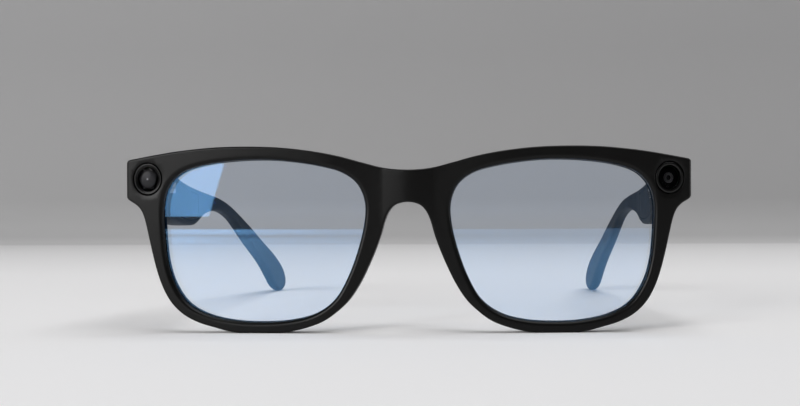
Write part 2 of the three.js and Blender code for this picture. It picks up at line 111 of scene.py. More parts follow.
# Outlines, as given points (x or y, z)
BROW = [
    (0, 41.9), (6, 42.4), (12, 43.9), (18, 45.5), (25, 46.8),
    (33, 47.7), (42, 48.0), (51, 47.75), (61, 46.7), (72.1, 44.8),
]
TOP_CORNER = [(72.1, 44.8), (HALF_WIDTH, 44.6), (HALF_WIDTH, 43.6)]
LOW_CORNER = [(HALF_WIDTH, 35.4), (HALF_WIDTH, 34.65), (72.3, 34.15)]
UNDERSIDE = [
    (72.3, 34.15), (70.4, 32.9), (69.15, 31.4), (68.3, 29.2), (67.5, 25.9), (66.4, 21.0),
    (65.1, 16.0), (63.5, 11.6), (61.3, 7.8), (58.2, 4.8), (54.2, 2.7), (49.5, 1.3),
    (46.5, 0.5), (43.5, 0),
]
NOSE_SIDE = [
    (33, 0), (29.8, 0.45), (25.6, 1.5), (21.5, 3.1), (18, 5.6), (14.95, 8.6), (12.2, 12.8),
    (9.8, 17.7), (8, 22), (6.8, 25.4), (5.9, 28.6), (4.75, 31.2), (3, 32.95), (0, 33.6),
]
OPENING = [
    (36.8, 44.5), (45, 44.25), (53, 43.2), (58.6, 41.3), (61.9, 38), (63.3, 33.5),
    (63.3, 27), (62.5, 18.9), (60.6, 12.7), (57, 7.6), (51.5, 4.6), (44.4, 3.1),
    (37, 2.8), (30, 3.3), (23.8, 5), (18.8, 8.6), (15.4, 14.4), (12.8, 21.5),
    (11.2, 28.4), (11.1, 33.6), (13, 38.2), (17, 41.2), (23, 42.9), (30, 44),
]
DEEP_EDGE = [
    (58.3, 50), (58.5, 46.5), (59.4, 43.9), (61.8, 41.9), (63.6, 39.6), (64.4, 36.8),
    (65.0, 34.8), (66.6, 33.4), (67.6, 30.5), (67.8, 28),
]
TEMPLE_TOP = [
    (12.6, 44.3), (18, 42.5), (26, 40.4), (34.7, 38.9), (44, 37.8), (52, 36.8), (61, 35.5),
    (69, 33.8), (79, 31.0), (90, 27.6), (100, 24.3), (109, 21.1), (120, 17.3), (130, 13.4),
    (137.5, 9.7), (141.4, 6.3), (142.4, 3.6), (141.2, 1.1), (138.2, 0),
]
TEMPLE_BOTTOM = [
    (12.6, 34.2), (15, 33.0), (18, 31.5), (21, 30.0), (24, 28.9), (28, 28.0), (33, 27.4),
    (38, 27.3), (41.4, 27.8), (44.4, 28.8), (48, 30.2), (52.5, 31.2), (58, 31.6), (65, 30.9),
    (73.7, 28.6), (81, 25.6), (89, 22.0), (96, 19.0), (103, 16.2), (110, 13.2), (117, 9.7),
    (124.5, 5.2), (128.6, 2.6), (132.5, 0.9), (136, 0),
]
TEMPLE_CENTRE = [
    (12, 69.2), (42, 69.2), (50, 67.9), (58, 66.4), (69, 65.4), (90, 64.7), (109, 64.1),
    (130, 63.0), (143, 62.1),
]
TEMPLE_HALF = [
    (12, 3.2), (42, 3.2), (50, 2.3), (58, 1.7), (69, 1.6), (90, 1.65), (109, 1.8), (130, 2.0),
    (143, 1.9),
]
TEMPLE_EDGE = [
    (12, 0.4), (16, 0.9), (42, 1.0), (52, 0.95), (60, 0.9), (90, 0.9), (120, 1.2), (143, 1.8),
]


# Curves

def catmull(points, per=10, closed=False):
    """A smooth curve through the points."""
    p = np.array(points, float)
    if closed:
        p = np.vstack([p[-1], p, p[0], p[1]])
    else:
        p = np.vstack([p[0], p, p[-1]])
    t = (np.arange(per) / per)[:, None]
    out = []
    for a, b, c, d in zip(p[:-3], p[1:-2], p[2:-1], p[3:]):
        v0, v1 = (c - a) / 2, (d - b) / 2
        out.append((2 * (b - c) + v0 + v1) * t**3 + (3 * (c - b) - 2 * v0 - v1) * t**2 + v0 * t + b)
    if not closed:
        out.append(p[-2:-1])
    return np.vstack(out)


def corner(points, count=6):
    """A quadratic curve from the first point to the last, drawn towards the middle one."""
    a, b, c = np.array(points, float)
    t = np.linspace(0, 1, count)[:, None]
    return a * (1 - t) ** 2 + 2 * b * t * (1 - t) + c * t**2


def across(points):
    """Both halves of a line that starts on the centre line, from -x to +x."""
    whole = [(-x, z) for x, z in points[:0:-1]] + list(points)
    return catmull(whole)


def spaced(loop, step):
    """A closed loop with evenly spaced points, counter-clockwise, from its first point."""
    p = np.vstack([loop, loop[:1]])
    gaps = np.hypot(*np.diff(p, axis=0).T)
    p = p[np.append(True, gaps > 1e-6)]
    s = np.append(0, np.cumsum(np.hypot(*np.diff(p, axis=0).T)))
    count = max(8, round(s[-1] / step))
    at = np.linspace(0, s[-1], count, endpoint=False)
    out = np.column_stack([np.interp(at, s, p[:, 0]), np.interp(at, s, p[:, 1])])
    x, y = out.T
    area = (x * np.roll(y, -1) - y * np.roll(x, -1)).sum()
    return out if area > 0 else out[::-1].copy()


def inwards(loop, distance):
    """The loop moved towards its inside by a distance, or outwards by a negative one."""
    along = np.roll(loop, -1, axis=0) - np.roll(loop, 1, axis=0)
    along /= np.hypot(*along.T)[:, None]
    return loop + distance * np.column_stack([-along[:, 1], along[:, 0]])


def circle(centre, radius, count=48, oval=1.0):
    """A closed loop round a centre, narrowed across by the oval share."""
    a = np.arange(count) * 2 * math.pi / count
    return np.column_stack([centre[0] + oval * radius * np.cos(a), centre[1] + radius * np.sin(a)])


def box_loop(u, v, step=0.8):
    """A rectangle between pairs of coordinates, as an evenly spaced loop."""
    return spaced(np.array([(u[0], v[0]), (u[1], v[0]), (u[1], v[1]), (u[0], v[1])], float), step)


def flipped(loop):
    """The loop mirrored to the other side, still counter-clockwise."""
    return (loop * (-1, 1))[::-1].copy()


def line_value(line, at):
    """The second coordinate of a line of points, where the first one is at a value."""
    line = np.asarray(line, float)
    return np.interp(at, line[:, 0], line[:, 1])


def distance(points, loop, closed=True):
    """How far each point is from a line of points."""
    a = loop if closed else loop[:-1]
    b = np.roll(loop, -1, axis=0) if closed else loop[1:]
    best = np.full(len(points), 1e9)
    span = b - a
    length = (span**2).sum(1) + 1e-12
    for start in range(0, len(points), 2000):
        p = points[start:start + 2000, None, :]
        t = np.clip(((p - a) * span).sum(2) / length, 0, 1)
        gap = p - a - t[..., None] * span
        best[start:start + 2000] = np.sqrt((gap**2).sum(2).min(1))
    return best


def inside(points, loop):
    """Which points lie inside a closed loop."""
    a, b = loop, np.roll(loop, -1, axis=0)
    found = np.zeros(len(points), bool)
    for start in range(0, len(points), 4000):
        x, y = points[start:start + 4000].T[:, :, None]
        crosses = (a[:, 1] > y) != (b[:, 1] > y)
        rise = np.where(b[:, 1] == a[:, 1], 1e-9, b[:, 1] - a[:, 1])
        at = a[:, 0] + (y - a[:, 1]) * (b[:, 0] - a[:, 0]) / rise
        found[start:start + 4000] = (crosses & (x < at)).sum(1) % 2 == 1
    return found


def fillet(d, radius):
    """How far a rounded edge drops away, at a distance from that edge."""
    d = np.minimum(d, radius)
    return radius - np.sqrt(np.maximum(radius**2 - (radius - d) ** 2, 0))


def ease(t):
    """A smooth step from 0 to 1."""
    t = np.clip(t, 0, 1)
    return t * t * (3 - 2 * t)


# Meshes

def ring_faces(rows, count):
    """Quads between closed rings of points that follow each other."""
    return [
        (k * count + i, k * count + (i + 1) % count, (k + 1) * count + (i + 1) % count, (k + 1) * count + i)
        for k in range(rows - 1) for i in range(count)
    ]


def level(depth):
    """A flat surface, for a sheet."""
    return lambda uv: np.full(len(uv), depth)


class Solid:
    """Vertices and faces in (u, v, w): an outline plane and a depth."""

    def __init__(self):
        self.points, self.faces, self.count = [], [], 0

    def put(self, uv, w):
        """Adds points and returns their indices."""
        uv = np.asarray(uv, float)
        self.points.append(np.column_stack([uv, np.broadcast_to(w, len(uv))]))
        self.count += len(uv)
        return np.arange(self.count - len(uv), self.count)

    def strip(self, a, b):
        """Quads between two closed loops of indices."""
        n = len(a)
        self.faces += [(a[i], a[(i + 1) % n], b[(i + 1) % n], b[i]) for i in range(n)]

    def sheet(self, outer, holes, depth, rings=(), grid=1.4):
        """A triangulated face with holes. Returns the indices round each loop."""
        loops = [outer, *holes]
        low, high = outer.min(0), outer.max(0)
        lattice = []
        for i, v in enumerate(np.arange(low[1], high[1], grid * 0.87)):
            u = np.arange(low[0] + (i % 2) * grid / 2, high[0], grid)
            lattice.append(np.column_stack([u, np.full(len(u), v)]))
        kept = []
        for i, group in enumerate([np.vstack(lattice), *rings]):
            ok = inside(group, outer)
            for hole in holes:
                ok &= ~inside(group, hole)
            group = group[ok]
            for loop in loops:
                group = group[distance(group, loop) > (0.5 * grid if i == 0 else 0.04)]
            for ring in rings if i == 0 else ():
                group = group[distance(group, ring, closed=False) > 0.35 * grid]
            kept.append(group)
        flat = np.vstack([*loops, *kept])
        edges, start = [], 0
        for loop in loops:
            n = len(loop)
            edges += [(start + i, start + (i + 1) % n) for i in range(n)]
            start += n
        made = delaunay_2d_cdt([Vector(p) for p in flat], edges, [], 0, 1e-5, True)
        places = np.array([tuple(v) for v in made[0]])
        source = {}
        for new, olds in enumerate(made[3]):
            for old in olds:
                source[old] = new
        faces = np.array(made[2])
        middle = places[faces].mean(1)
        ok = inside(middle, outer)
        for hole in holes:
            ok &= ~inside(middle, hole)
        first = self.put(places, depth(places))[0]
        self.faces += [tuple(int(first + i) for i in f) for f in faces[ok]]
        found, start = [], 0
        for loop in loops:
            found.append(np.array([first + source[start + i] for i in range(len(loop))]))
            start += len(loop)
        return found

    def wall(self, edge, rows, other=None):
        """Rings of (loop, depth) from one edge, on to another edge if there is one."""
        last = edge
        for loop, w in rows:
            ring = self.put(loop, w)
            self.strip(last, ring)
            last = ring
        if other is not None:
            self.strip(last, other)
        return last

    def floor(self, edge):
        """One face that closes a loop."""
        self.faces.append(tuple(int(i) for i in edge))

    def mesh(self, name, place, sharp):
        """The object, with a function that turns (u, v, w) into drawing x, y, z."""
        return make(name, place(np.vstack(self.points)), self.faces, sharp)


def finish_mesh(mesh, sharp):
    """Welds a mesh, turns its faces outwards and shades it smooth between sharp edges."""
    shape = bmesh.new()
    shape.from_mesh(mesh)
    bmesh.ops.remove_doubles(shape, verts=shape.verts, dist=1e-7)
    loose = [v for v in shape.verts if not v.link_faces]
    bmesh.ops.delete(shape, geom=loose, context="VERTS")
    bmesh.ops.recalc_face_normals(shape, faces=shape.faces)
    for face in shape.faces:
        face.smooth = True
    shape.to_mesh(mesh)
    shape.free()
    mesh.set_sharp_from_angle(angle=math.radians(sharp))


def make(name, points, faces, sharp=35):
    """An object from points in drawing millimetres."""
    mesh = bpy.data.meshes.new(name)
    placed = np.asarray(points, float) * MM + (0, FRONT_Y, 0)
    mesh.from_pydata([tuple(p) for p in placed], [], [tuple(int(i) for i in f) for f in faces])
    finish_mesh(mesh, sharp)
    made = bpy.data.objects.new(name, mesh)
    bpy.context.scene.collection.objects.link(made)
    return made


def lathe(profile, centre, count=96, oval=1.0):
    """Points and faces of a closed (radius, y) profile turned on an axis along y."""
    profile = np.array(profile, float)
    a = np.arange(count) * 2 * math.pi / count
    r, y = profile.T
    x = centre[0] + oval * np.outer(np.cos(a), r)
    z = centre[1] + np.outer(np.sin(a), r)
    points = np.stack([x, np.broadcast_to(y, x.shape), z], -1).reshape(-1, 3)
    n = len(profile)
    faces = [
        (i * n + j, ((i + 1) % count) * n + j, ((i + 1) % count) * n + (j + 1) % n, i * n + (j + 1) % n)
        for i in range(count) for j in range(n)
    ]
    return points, faces


def post(radius, x, y, z, count=48, chamfer=0.0):
    """Points and faces of a cylinder along z, with small chamfers."""
    a = np.arange(count) * 2 * math.pi / count
    points = []
    for r, h in (
        (radius - chamfer, z[0]), (radius, z[0] + chamfer),
        (radius, z[1] - chamfer), (radius - chamfer, z[1]),
    ):
        points.append(np.column_stack([x + r * np.cos(a), y + r * np.sin(a), np.full(count, h)]))
    faces = ring_faces(4, count) + [tuple(range(count)), tuple(range(3 * count, 4 * count))]
    return np.vstack(points), faces


def block(x, y, z):
    """Points and faces of a box between pairs of coordinates."""
    points = np.array([(a, b, c) for a in x for b in y for c in z], float)
    faces = [(0, 1, 3, 2), (4, 6, 7, 5), (0, 4, 5, 1), (2, 3, 7, 6), (0, 2, 6, 4), (1, 5, 7, 3)]
    return points, faces


def wrapped(points):
    """Bends points of the front round the face."""
    points = np.array(points, float)
    points[:, 1] += points[:, 0] ** 2 / (2 * WRAP_RADIUS)
    return points


def front_place(points):
    """From the front's outline plane and depth to x, y, z, bent round the face."""
    return wrapped(points[:, [0, 2, 1]])


def temple_place(points):
    """From a temple's outline plane and depth to x, y, z."""
    return points[:, [2, 0, 1]]


def mirrored(made, name):
    """A copy of an object on the other side."""
    mesh = made.data.copy()
    mesh.name = name
    co = np.zeros(len(mesh.vertices) * 3, np.float32)
    mesh.vertices.foreach_get("co", co)
    co[::3] *= -1
    mesh.vertices.foreach_set("co", co)
    mesh.flip_normals()
    mesh.update()
    copy = bpy.data.objects.new(name, mesh)
    bpy.context.scene.collection.objects.link(copy)
    return copy


def bevelled(made, width, segments=3, angle=30):
    """Rounds an object's sharp edges, for good."""
    change = made.modifiers.new("edges", "BEVEL")
    change.width = width * MM
    change.segments = segments
    change.limit_method = "ANGLE"
    change.angle_limit = math.radians(angle)
    settle(made)
    return made


def settle(made, sharp=35):
    """Makes an object's modifiers part of its mesh."""
    graph = bpy.context.evaluated_depsgraph_get()
    mesh = bpy.data.meshes.new_from_object(made.evaluated_get(graph))
    made.modifiers.clear()
    made.data = mesh
    for polygon in mesh.polygons:
        polygon.use_smooth = True
    mesh.set_sharp_from_angle(angle=math.radians(sharp))


def carve(made, cutters, how="DIFFERENCE"):
    """Cuts or joins other solids, given as (points, faces) in drawing millimetres."""
    tools = [make("tool", points, faces) for points, faces in cutters]
    for tool in tools:
        change = made.modifiers.new("cut", "BOOLEAN")
        change.object = tool
        change.operation = how
        change.solver = "EXACT"
    settle(made)
    for tool in tools:
        bpy.data.objects.remove(tool)
    return made


# The front

def front_outline():
    """The front's closed outline, flat where it stands on the table."""
    end = catmull([TOP_CORNER[2], LOW_CORNER[0]])
    parts = [corner(TOP_CORNER), end, corner(LOW_CORNER), catmull(UNDERSIDE)]
    side = np.vstack([part[:-1] for part in parts])
    nose = across(NOSE_SIDE[::-1])[::-1]
    other = (side * (-1, 1))[::-1]
    loop = spaced(np.vstack([across(BROW), side, nose, other]), SPACING)
    height = np.where(loop[:, 1] < 0.01, 0, np.minimum(loop[:, 1], cad_high.z / MM))
    return np.column_stack([loop[:, 0], height])


outline = front_outline()
opening = spaced(catmull(OPENING, 12, closed=True), SPACING)
openings = [opening, flipped(opening)]
bore = circle(MODULE, MODULE_BORE, 96, MODULE_OVAL)
bores = [bore, flipped(bore)]
deep_edge = catmull(DEEP_EDGE)
deep_edges = [deep_edge, deep_edge * (-1, 1)]


def front_face(uv):
    """Depth of the front surface: rounded edges, and a crowned bridge."""
    drop = fillet(distance(uv, outline), OUTER_ROUND) ** 2
    drop = drop + fillet(HALF_WIDTH - np.abs(uv[:, 0]), END_ROUND) ** 2
    for loop in openings:
        drop = drop + fillet(distance(uv, loop), INNER_ROUND) ** 2
    for loop in bores:
        drop = drop + fillet(distance(uv, loop), BORE_ROUND) ** 2
    x = np.abs(uv[:, 0])
    reach = math.hypot(BRIDGE_CREASE, BRIDGE_SOFT) - BRIDGE_SOFT
    facet = (np.hypot(x, BRIDGE_SOFT) - BRIDGE_SOFT) / reach
    crown = np.where(x < BRIDGE_CREASE, facet, 1 - ease((x - BRIDGE_CREASE) / BRIDGE_FADE))
    return np.sqrt(drop) + BRIDGE_CROWN * crown


def behind_edge(uv):
    """1 on the deep endpieces, 0 on the rims."""
    share = np.zeros(len(uv))
    for line in deep_edges:
        near = distance(uv, line, closed=False)
        side = np.sign(line[0, 0])
        edge_x = np.interp(uv[:, 1], line[::-1, 1], np.abs(line[::-1, 0]))
        beyond = (uv[:, 0] * side > edge_x) & (uv[:, 1] > DEEP_EDGE[-1][1])
        share = np.where(beyond, np.maximum(share, ease(near / ENDPIECE_STEP)), share)
    return share


def rear_face(uv):
    """Depth of the rear surface: thin rims, deep endpieces and rounded edges."""
    deep = behind_edge(uv)
    drop = fillet(distance(uv, outline), REAR_ROUND) ** 2
    for loop in openings:
        drop = drop + fillet(distance(uv, loop), REAR_ROUND) ** 2
    return RIM_DEPTH + (ENDPIECE_DEPTH - RIM_DEPTH) * deep - np.sqrt(drop)


def rounding_rings(loop, radius, outwards=False, steps=(0.04, 0.14, 0.3, 0.5, 0.75, 1.0, 1.3)):
    """Loops that give a sheet's rounded edge its points."""
    sign = -1 if outwards else 1
    return [inwards(loop, sign * radius * s) for s in steps]


def brow_strip(reach, top, bottom):
    """A band under the brow line, between two distances from it."""
    x = np.linspace(-reach, reach, round(2 * reach / SPACING))
    z = line_value(across(BROW), x)
    upper, lower = np.column_stack([x, z - top]), np.column_stack([x, z - bottom])
    return spaced(np.vstack([upper, lower[::-1]]), SPACING)


def upright(x, low, high, count):
    """A vertical row of points."""
    return np.column_stack([np.full(count, x), np.linspace(low, high, count)])


def front_shell():
    """The moulded front, with its grooves, bores, pockets and cable channel."""
    made = Solid()
    rings = rounding_rings(outline, OUTER_ROUND)
    for loop in openings:
        rings += rounding_rings(loop, INNER_ROUND, True)
    for loop in bores:
        rings += rounding_rings(loop, 0.25, True, (0.3, 0.8))
    crease = [
        upright(x, 30, 44, 20)
        for x in (-BRIDGE_CREASE, -BRIDGE_CREASE + 0.5, BRIDGE_CREASE - 0.5, BRIDGE_CREASE)
    ]
    ends = [
        upright(side * (HALF_WIDTH - END_ROUND * s), 34.8, 44.5, 26)
        for side in (-1, 1) for s in (0.14, 0.3, 0.5, 0.75, 1.0)
    ]
    faces = made.sheet(outline, [*openings, *bores], front_face, rings + crease + ends)
    outer_front, open_front, bore_front = faces[0], faces[1:3], faces[3:5]

    pocket = box_loop(POCKET_X, POCKET_Z)
    strip = brow_strip(BROW_REACH, 1.1, 2.3)
    contact = circle(CONTACT_PLACE, 1.4, 40)
    microphone = box_loop((-1.6, 1.6), (34.8, 36.9), 0.5)
    recesses = [
        (pocket, POCKET_FLOOR), (flipped(pocket), POCKET_FLOOR), (strip, BROW_FLOOR),
        (contact, REAR_FLOOR), (flipped(contact), REAR_FLOOR), (microphone, REAR_FLOOR),
    ]
    rings = rounding_rings(outline, REAR_ROUND)
    for loop in openings:
        rings += rounding_rings(loop, REAR_ROUND, True)
    for line in deep_edges:
        rings += [line + (shift * np.sign(line[0, 0]), 0) for shift in (0, 0.35, 0.7, 1.0, 1.3)]
    faces = made.sheet(outline, [*openings, *(loop for loop, _ in recesses)], rear_face, rings)
    outer_rear, open_rear = faces[0], faces[1:3]
    for (loop, deep), edge in zip(recesses, faces[3:]):
        made.floor(made.wall(edge, [(loop, deep)]))
    for loop, edge in zip(bores, bore_front):
        made.floor(made.wall(edge, [(loop, BORE_DEPTH)]))
    for loop, first, last in zip(openings, open_front, open_rear):
        grown = inwards(loop, -GROOVE_DEPTH)
        lip = front_face(loop) + 0.15
        groove = np.maximum(lip, GROOVE_FRONT)
        rows = [(loop, lip), (grown, groove), (grown, GROOVE_BACK), (loop, GROOVE_BACK)]
        made.wall(first, rows, last)
    made.wall(outer_front, [], outer_rear)
    return made.mesh("front_shell", front_place, 40)


def lens(name):
    """A curved lens whose edge sits in the groove."""
    made = Solid()
    edge = inwards(opening, -(GROOVE_DEPTH - LENS_PLAY))
    rings = [inwards(edge, d) for d in (0.25, 0.55, 1.0)]
    front = made.sheet(edge, [], level(LENS_FRONT), rings, 2.2)
    rear = made.sheet(edge, [], level(LENS_BACK), rings, 2.2)
    made.wall(front[0], [], rear[0])
    return made.mesh(name, front_place, 40)


def nose_pad(name):
    """A soft pad, a flattened drop bonded behind the rim."""
    count, rows = 48, 24
    thick, wide, tall = 1.3, 4.5, 6.5
    turn, lean = -0.25, -0.38
    points = []
    for j in range(rows + 1):
        v = math.pi * (j / rows - 0.5)
        for i in range(count):
            a = 2 * math.pi * i / count
            points.append((
                math.cos(v) * math.cos(a) * thick * (1 + 0.12 * math.sin(v)),
                math.cos(v) * math.sin(a) * wide,
                math.sin(v) * tall,
            ))
    points = np.array(points)
    c, s = math.cos(turn), math.sin(turn)
    points = points @ np.array([(c, s, 0), (-s, c, 0), (0, 0, 1)])
    c, s = math.cos(lean), math.sin(lean)
    points = points @ np.array([(c, 0, -s), (0, 1, 0), (s, 0, c)])
    points += (11.1, RIM_DEPTH + 0.4, 20.4)
    points[:, 1] = np.maximum(points[:, 1], RIM_DEPTH + 0.05)
    return make(name, wrapped(points), ring_faces(rows + 1, count), 60)


# Round pieces of the front, as (radius, y) profiles
CAMERA_RING = [
    (4.02, 0.4), (3.99, 0.2), (3.92, 0.1), (3.82, 0.06), (3.7, 0.08), (3.6, 0.2), (3.54, 0.4),
    (3.46, 0.42), (3.4, 0.34), (3.3, 0.3), (3.2, 0.34), (3.12, 0.46), (3.06, 0.9), (3.06, 2.2), (4.02, 2.2),
]
INDICATOR_RING = [
    (4.02, 0.4), (3.99, 0.2), (3.92, 0.1), (3.82, 0.06), (3.4, 0.08), (3.26, 0.12), (3.17, 0.24),
    (3.12, 0.44), (3.06, 0.9), (3.06, 2.2), (4.02, 2.2),
]
WINDOW = [(0.0, 0.5), (1.6, 0.5), (2.6, 0.52), (2.94, 0.57), (3.0, 0.64), (3.0, 0.82), (0.0, 0.82)]
BARREL = [(0.0, 2.0), (2.2, 2.0), (2.7, 2.05), (2.9, 2.2), (3.0, 2.5), (3.0, 4.0), (0.0, 4.0)]
DOME = [
    (0.0, 0.95), (0.35, 0.955), (0.8, 0.98), (1.25, 1.03), (1.65, 1.1), (2.0, 1.2), (2.3, 1.34),
    (2.5, 1.54), (2.6, 1.95), (0.0, 1.95),
]
DOME_CENTRE = (MODULE[0] + 0.38, MODULE[1])
LAMP_TUBE = [
    (1.35, 1.5), (1.27, 1.32), (1.05, 1.26), (0.82, 1.32), (0.66, 1.5), (0.66, 2.3), (1.35, 2.3),
]
LAMP_BED = [(0.0, 1.9), (1.0, 1.9), (1.6, 2.3), (3.0, 2.5), (3.0, 3.3), (0.0, 3.3)]
CONTACT = [
    (0, 3.2), (0.5, 3.2), (0.5, 3.7), (1.05, 3.75), (1.12, 3.9), (1.12, 4.2), (1.05, 4.36),
    (0.9, 4.42), (0, 4.45),
]


def turned(name, profile, sharp=35, centre=MODULE, oval=MODULE_OVAL, count=96):
    """A round piece of the front, from its profile."""
    points, faces = lathe(profile, centre, count, oval)
    return make(name, wrapped(points), faces, sharp)


# Temples

def temple_outline():
    """The top line, the underside line and the closed outline of a temple."""
    top = catmull(TEMPLE_TOP)
    bottom = catmull(TEMPLE_BOTTOM)
    return top, bottom, spaced(np.vstack([top, bottom[::-1]]), SPACING)


temple_top, temple_bottom, temple_loop = temple_outline()
centre_line = catmull(TEMPLE_CENTRE)
half_line = catmull(TEMPLE_HALF)
edge_line = catmull(TEMPLE_EDGE)


def temple_side(sign):
    """Depth of the outer (+1) or inner (-1) surface of a temple."""
    def depth(uv):
        y = uv[:, 0]
        d = distance(uv, temple_loop)
        flat = line_value(half_line, y) - fillet(d, line_value(edge_line, y))
        crown = 0.12 * np.clip(1 - d / 5.0, 0, 1) ** 2 if sign > 0 else 0.0
        return line_value(centre_line, y) + sign * (flat - crown)
    return depth


TOP_COUNT = 170  # points of the top line before it turns under the tip


def top_height(y):
    """Height of a temple's top line."""
    return line_value(temple_top[:TOP_COUNT], y)


def housing_loop(start, end, inset):
    """An outline on the housing's side, at an inset from its top and underside."""
    y = np.linspace(start, end, round((end - start) / 0.5))
    top = np.column_stack([y, top_height(y) - inset])
    bottom = np.column_stack([y, line_value(temple_bottom, y) + inset])
    return spaced(np.vstack([top, bottom[::-1]]), 0.8)


button_rise = (top_height(BUTTON_Y - 3) - top_height(BUTTON_Y + 3)) / 6
BUTTON_Z = float(top_height(BUTTON_Y))


def on_top(points):
    """Places points (x across, y along, z out) on the temple's top surface at the button."""
    tilt = math.atan(button_rise)
    x, y, z = np.array(points, float).T
    return np.column_stack([
        BUTTON_X + x,
        BUTTON_Y + y * math.cos(tilt) + z * math.sin(tilt),
        BUTTON_Z - y * math.sin(tilt) + z * math.cos(tilt),
    ])


def pill_loop(width, length, count=14):
    """A closed loop with round ends, long along its second coordinate."""
    r, s = width / 2, (length - width) / 2
    a = np.linspace(0, math.pi, count)
    top = np.column_stack([r * np.cos(a), s + r * np.sin(a)])
    return np.vstack([top, -top])


def prism(loop, low, high, place, rounding=()):
    """Points and faces of a loop drawn upwards, with (inset, drop) rows that round its top."""
    rows = [(loop, low)]
    rows += [(inwards(loop, d), high - h) for d, h in rounding] or [(loop, high)]
    points = np.vstack([np.column_stack([ring, np.full(len(ring), h)]) for ring, h in rows])
    n, total = len(loop), len(points)
    faces = ring_faces(len(rows), n) + [tuple(range(n)), tuple(range(total - n, total))]
    return place(points), faces


def temple_shell(name, extra):
    """A moulded arm with its housing's pocket, hinge notch, port and extra cuts."""
    made = Solid()
    radii = [0.1, 0.25, 0.45, 0.7, 0.95, 1.2, 1.5, 1.9]
    rings = [inwards(temple_loop, r) for r in radii]
    port = circle(PORT, 0.45, 24)
    mouth = housing_loop(COVER[0] - COVER_GAP, COVER[1] + COVER_GAP, COVER_INSET - COVER_GAP)
    outside = made.sheet(temple_loop, [port], temple_side(1), rings)
    within = made.sheet(temple_loop, [mouth], temple_side(-1), rings)
    made.wall(outside[0], [], within[0])
    made.floor(made.wall(outside[1], [(port, PORT_FLOOR)]))
    made.floor(made.wall(within[1], [(mouth, HOUSING_FLOOR)]))
    shell = made.mesh(name, temple_place, 38)
    notch = (36.0, 42.1)
    middle = (37.6, 39.6)
    cuts = [
        post(2.2, *PIN, notch),
        block((64, 67.4), (11, PIN[1]), notch),
        block((64, 68.8), (PIN[1] - 0.1, 16.1), middle),
        block((67, 68.8), (PIN[1], 18.2), middle),
        block((68.2, 70.4), (35.3, 39.7), (26, 29.6)),
    ]
    return carve(shell, cuts + extra)


def cover_plate(name, slot=None):
    """The inner cover of a housing, with a slot for the slider if there is one."""
    made = Solid()
    loop = housing_loop(*COVER, COVER_INSET)
    holes = [slot] if slot is not None else []
    rings = [inwards(loop, d) for d in (0.06, 0.16)]

    def inner(uv):
        return COVER_FACE + fillet(distance(uv, loop), 0.18)

    near = made.sheet(loop, holes, inner, rings, 2.0)
    far = made.sheet(loop, holes, level(COVER_BACK), [], 3.0)
    for a, b in zip(near, far):
        made.wall(a, [], b)
    return made.mesh(name, temple_place, 38)


def speaker_grille(name):
    """A plate with rows of small round holes."""
    made = Solid()
    plate = box_loop((68.4, 70.2), (35.5, 39.5), 0.3)
    columns, rows = (68.8, 69.3, 69.8), np.arange(35.95, 39.2, 0.52)
    holes = [circle((x, y), 0.15, 12) for x in columns for y in rows]
    low = made.sheet(plate, holes, level(GRILLE[0]), [], 0.8)
    high = made.sheet(plate, holes, level(GRILLE[1]), [], 0.8)
    for a, b in zip(low, high):
        made.wall(a, [], b)
    return made.mesh(name, lambda p: p, 38)


# Materials

class Nodes:
    """A material's node tree, with short ways to add what the finishes share."""

    def __init__(self, name):
        self.material = bpy.data.materials.new(name)
        self.material.use_nodes = True
        self.tree = self.material.node_tree
        self.tree.nodes.clear()
        self.out = self.new("ShaderNodeOutputMaterial")
        self.where = self.new("ShaderNodeTexCoord").outputs["Object"]

    def new(self, kind, **values):
        """A node with some of its sockets or settings set by name."""
        node = self.tree.nodes.new(kind)
        for key, value in values.items():
            if key in node.inputs:
                node.inputs[key].default_value = value
            else:
                setattr(node, key, value)
        return node

    def link(self, a, b):
        self.tree.links.new(a, b)

    def stretched(self, scale):
        """The object's own coordinates, scaled along each axis."""
        node = self.new("ShaderNodeMapping", Scale=scale)
        self.link(self.where, node.inputs["Vector"])
        return node.outputs["Vector"]

    def noise(self, scale, detail=4.0, stretch=None):
        """Soft noise over the object's own coordinates."""
        node = self.new("ShaderNodeTexNoise", Scale=scale, Detail=detail)
        self.link(self.stretched(stretch) if stretch else self.where, node.inputs["Vector"])
        return node.outputs["Fac"]

    def ramp(self, value, stops):
        """Colours along a value, from (place, colour) stops."""
        node = self.new("ShaderNodeValToRGB")
        band = node.color_ramp
        while len(band.elements) < len(stops):
            band.elements.new(0.5)
        for element, (at, colour) in zip(band.elements, stops):
            element.position = at
            element.color = (*colour, 1)
        self.link(value, node.inputs["Fac"])
        return node.outputs["Color"]

    def spread(self, value, low, high):
        """A value from 0 to 1, stretched between two others."""
        node = self.new("ShaderNodeMapRange", **{"To Min": low, "To Max": high})
        self.link(value, node.inputs["Value"])
        return node.outputs["Result"]

    def bump(self, height, depth, strength=1.0, normal=None):
        """Relief of a height value, laid over another relief if there is one."""
        node = self.new("ShaderNodeBump", Strength=strength, Distance=depth)
        self.link(height, node.inputs["Height"])
        if normal is not None:
            self.link(normal, node.inputs["Normal"])
        return node.outputs["Normal"]

    def surface(self, **values):
        """The finish itself, from its sockets' values or links."""
        node = self.new("ShaderNodeBsdfPrincipled")
        for key, value in values.items():
            socket = node.inputs[key.replace("_", " ")]
            if isinstance(value, bpy.types.NodeSocket):
                self.link(value, socket)
            else:
                socket.default_value = value
        self.link(node.outputs["BSDF"], self.out.inputs["Surface"])


def darker(colour, by):
    """A colour times a number."""
    return tuple(c * by for c in colour)


